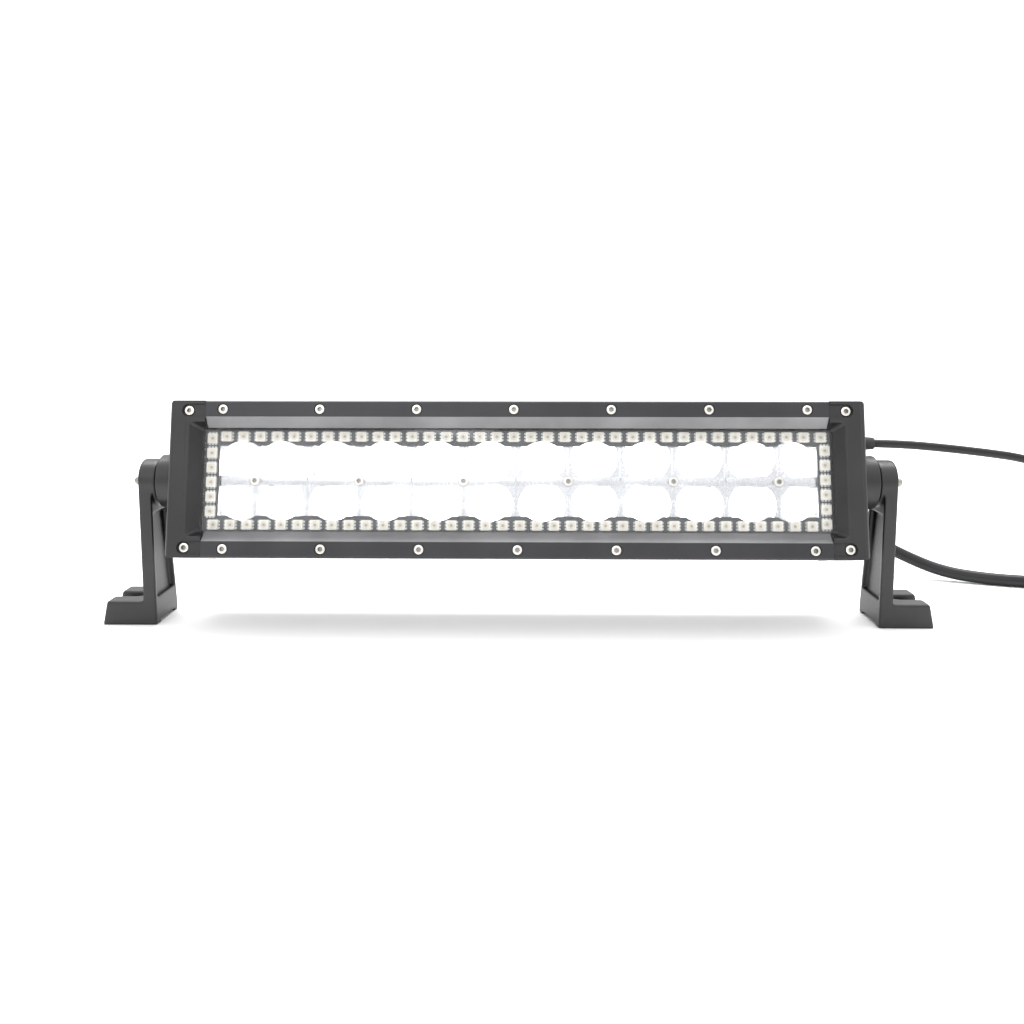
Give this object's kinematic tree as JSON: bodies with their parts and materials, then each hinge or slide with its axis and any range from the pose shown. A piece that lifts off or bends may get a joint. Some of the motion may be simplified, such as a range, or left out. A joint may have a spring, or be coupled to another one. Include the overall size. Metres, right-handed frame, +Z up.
{
  "type": "led light bar",
  "caption": "Two-row LED light bar with a halo ring of small LEDs, finned black housing, tilting cast foot brackets and two pigtail leads.",
  "frame": {"origin": "on the floor midway between the end caps, under the pivot axis of the brackets", "axes": "+X along the bar to the end where the leads leave, +Y from the lens to the fins, +Z up"},
  "size_m": [0.6356, 0.1426, 0.1159],
  "materials": {
    "black_casting": "satin textured powder coat on cast aluminium",
    "black_anodised": "satin black coated extrusion",
    "stainless": "bright stainless",
    "clear_lens": "clear polycarbonate, gloss",
    "black_rubber": "matt",
    "pale_gasket": "matt silicone",
    "circuit_board": "black solder mask",
    "led_body": "white package with clear resin",
    "chromed_reflector": "vacuum metallised",
    "heat_pad": "soft silicone",
    "black_plastic": "moulded",
    "lead_jacket": "semi-gloss jacket",
    "contact_brass": "plated"
  },
  "bodies": {
    "head": {"bezel_end_left": "black_casting", "bezel_end_right": "black_casting", "cap_gasket_left": "pale_gasket", "cap_gasket_right": "pale_gasket", "cap_screws_left": "stainless", "cap_screws_right": "stainless", "controller_board": "circuit_board", "controller_parts": "black_plastic", "corner_screws": "stainless", "end_cap_left": "black_casting", "end_cap_right": "black_casting", "friction_washer_left": "black_rubber", "friction_washer_right": "black_rubber", "front_rail_bottom": "black_anodised", "front_rail_top": "black_anodised", "halo_board": "circuit_board", "halo_grommet": "black_rubber", "halo_lead": "lead_jacket", "halo_leds": "led_body", "halo_plug": "black_plastic", "halo_plug_boot": "black_rubber", "halo_plug_pins": "contact_brass", "housing_extrusion": "black_anodised", "led_board": "circuit_board", "lens": "clear_lens", "lens_gasket": "black_rubber", "main_gland": "black_plastic", "main_lead": "lead_jacket", "main_plug": "black_plastic", "main_plug_boot": "black_rubber", "main_plug_pins": "contact_brass", "main_strain_relief": "black_rubber", "pivot_bolt_left": "stainless", "pivot_bolt_right": "stainless", "pivot_washer_left": "stainless", "pivot_washer_right": "stainless", "rail_screws_bottom": "stainless", "rail_screws_top": "stainless", "reflector": "chromed_reflector", "reflector_screws": "stainless", "thermal_pad": "heat_pad", "vent_plug": "black_plastic", "white_leds": "led_body"},
    "left_bracket": {"bracket_left": "black_casting"},
    "right_bracket": {"bracket_right": "black_casting"}
  },
  "joints": [
    {"name": "left_bracket_swing", "type": "hinge", "parent": "head", "child": "left_bracket", "pos_m": [-0.188, 0, 0.0734], "axis": [1, 0, 0], "range_deg": [-90, 90]},
    {"name": "right_bracket_swing", "type": "hinge", "parent": "head", "child": "right_bracket", "pos_m": [0.188, 0, 0.0734], "axis": [1, 0, 0], "range_deg": [-90, 90]}
  ]
}
